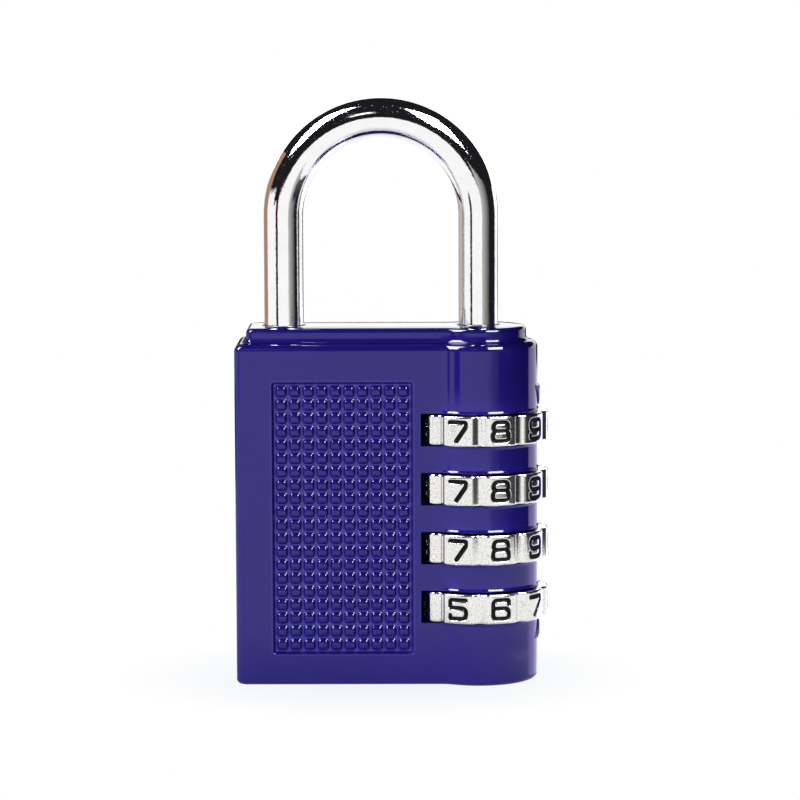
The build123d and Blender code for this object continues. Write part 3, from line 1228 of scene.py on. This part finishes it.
def side_card(name, bearings, heights, distance, start, end):
    """An upright card between two bearings, anticlockwise from the front, fading between two colours."""
    points = []
    for bearing, height in zip((0, 1, 1, 0), (0, 0, 1, 1)):
        turn = radians(bearings[bearing])
        points.append((distance * sin(turn), -distance * cos(turn), heights[height]))
    card(name, points, [start, end, end, start])


card_base = 0.06  # height of the place that the overhead cards are measured from


def overhead_card(name, slopes, height, strength):
    """A level light panel. Each corner is given as metres to the right and back for each metre up."""
    points = [(height * right, height * back, card_base + height) for right, back in slopes]
    card(name, points, [(strength, strength, strength)] * len(points))


def area_lamp(name, place, aim, size, energy):
    """A soft light aimed at a point, which lights rough surfaces but shows in no reflection."""
    lamp = bpy.data.lights.new(name, "AREA")
    lamp.shape = "RECTANGLE"
    lamp.size, lamp.size_y = size
    lamp.energy = energy
    holder = bpy.data.objects.new(name, lamp)
    holder.location = place
    holder.rotation_mode = "QUATERNION"
    holder.rotation_quaternion = (Vector(aim) - Vector(place)).to_track_quat("-Z", "Y")
    holder.visible_camera = False
    holder.visible_glossy = False
    bpy.context.scene.collection.objects.link(holder)


# Colours of the cards and of the dark room
dark = (0.012, 0.011, 0.014)
soft_dark = (0.018, 0.017, 0.021)
black = (0.004, 0.004, 0.005)
pale_grey = (0.50, 0.52, 0.49)
brown = (0.42, 0.24, 0.15)
beige = (0.50, 0.485, 0.455)
lilac = (1.35, 1.22, 1.9)
bright = (1.6, 1.6, 1.7)
deep_red = (0.10, 0.010, 0.016)
middle_grey = (0.10, 0.10, 0.105)
pale = (0.9, 0.9, 0.9)
sweep = (1.7, 1.7, 1.7)

panel_strength = 26.0
strip_strength = 1.6
white_top = 0.16  # sine of the elevation up to which reflections see the white sweep
white_blur = 0.02
fill_colour = (0.84, 0.91, 1.0)
fill_strength = 0.10


def build_world():
    """White for the eye, a white sweep under a dark room for reflections, soft fill for the rest."""
    world = bpy.data.worlds.new("studio")
    bpy.context.scene.world = world
    world.use_nodes = True
    tree = world.node_tree
    way = add_node(tree, "ShaderNodeTexCoord").outputs["Generated"]
    height = add_node(tree, "ShaderNodeSeparateXYZ", {0: way}).outputs["Z"]
    edge = spread(tree, height, 0.0, 1.0, white_top - white_blur, white_top + white_blur)
    room = ramp(tree, edge, [(0.0, (1.0, 1.0, 1.0)), (1.0, dark)])
    camera_ray = add_node(tree, "ShaderNodeLightPath").outputs["Is Camera Ray"]
    sight = mixed(tree, camera_ray, room, (1.0, 1.0, 1.0, 1.0))
    white = add_node(tree, "ShaderNodeBackground", {"Color": sight, "Strength": 1.0})
    soft = {"Color": (*fill_colour, 1.0), "Strength": fill_strength}
    rest = add_node(tree, "ShaderNodeBackground", soft)
    show(tree, "World Output", path_share(tree, 1.0, 1.0), rest, white)


def build_lights():
    """Lamps for the rough surfaces, and the panels and flags that the shiny ones reflect."""
    middle = (0.0, 0.0, 0.04)
    low_right = (0.0205, -0.002, 0.006)
    area_lamp("front_lamp", (-0.6, -1.12, 0.16), middle, (1.0, 0.5), 15.8)
    area_lamp("back_lamp", (-0.2, 1.2, 0.5), middle, (1.0, 0.6), 6.0)
    area_lamp("right_low_lamp", (0.042, -0.004, 0.003), low_right, (0.03, 0.004), 0.0025)
    left_panel = ((-0.25, -0.1), (-0.60, 0.18), (-1.66, -0.68), (-1.2, -1.15))
    right_panel = ((0.25, -0.35), (0.55, -1.45), (1.40, -1.15), (0.6, -0.1))
    front_strip = ((-0.34, -1.35), (-0.34, -1.9), (-0.12, -1.9), (-0.12, -1.35))
    overhead_card("left_panel", left_panel, 0.5, panel_strength)
    overhead_card("right_panel", right_panel, 0.5, panel_strength)
    overhead_card("front_strip", front_strip, 0.5, strip_strength)
    side_card("front_flag", (-60, 60), (0.125, 0.7), 2.0, dark, dark)
    side_card("back_sweep", (120, 240), (0.0, 0.3), 1.6, sweep, sweep)
    side_card("back_line", (150, 210), (0.0, 0.072), 0.45, dark, dark)
    side_card("right_grey_flag", (26, 70), (0.0, 0.1), 0.16, pale_grey, dark)
    side_card("right_flag", (70, 110), (0.0, 0.3), 0.16, dark, dark)
    fade_start = (0.074, -0.137, 0.012)
    flag_start = (0.101, -0.121, 0.012)
    flag_end = (0.0821, 0.0238, 0.0064)
    flag_colours = [middle_grey, soft_dark, soft_dark, soft_dark]
    upright_card("right_low_flag", flag_start, flag_end, 0.036, flag_colours)
    fade_colours = [pale, middle_grey, soft_dark, pale]
    upright_card("right_low_fade", fade_start, flag_start, 0.036, fade_colours)
    side_card("left_flag", (-46, -34), (0.0125, 0.1), 0.24, black, deep_red)
    side_card("left_beige_card", (-160, -106), (0.02, 0.09), 0.24, beige, beige)
    brown_ends = ((-0.0205, -0.0002, 0.0465), (-0.0205, 0.009, 0.0465))
    upright_card("left_brown_card", *brown_ends, 0.076, [brown] * 4)
    right_patch = ((0.0222, -0.0033), (0.60, 0.26), (0.15, 0.65), (0.0213, 0.0015))
    card("right_patch", [(x, y, 0.0004) for x, y in right_patch], [lilac, lilac, bright, bright])
    side_card("left_dark_card", (-165, -100), (0.0, 0.02), 0.24, dark, dark)


camera_focal_pixels = 3475.3
image_pixels = 800
camera_elevation = 6.427
camera_bearing = 0.486
camera_roll = -0.214
camera_target = Vector((2.506, 0.0, 37.998))
camera_distance = 471.7


def build_camera():
    """The camera at the photograph's viewpoint."""
    data = bpy.data.cameras.new("camera")
    data.lens = data.sensor_width * camera_focal_pixels / image_pixels
    data.clip_start = 0.01
    data.clip_end = 50.0
    camera = bpy.data.objects.new("camera", data)
    bpy.context.scene.collection.objects.link(camera)
    tilt = radians(camera_elevation)
    turn = radians(camera_bearing)
    forward = Vector((-sin(turn) * cos(tilt), cos(turn) * cos(tilt), -sin(tilt)))
    right = Vector((cos(turn), sin(turn), 0.0))
    up = right.cross(forward)
    roll = radians(camera_roll)
    rolled_right = cos(roll) * right + sin(roll) * up
    rolled_up = cos(roll) * up - sin(roll) * right
    axes = Matrix((rolled_right, rolled_up, -forward)).transposed()
    place = (camera_target - camera_distance * forward) * MM
    camera.matrix_world = Matrix.Translation(place) @ axes.to_4x4()
    bpy.context.scene.camera = camera


build_floor()
build_world()
build_lights()
build_camera()
bpy.context.scene.view_settings.view_transform = "Standard"
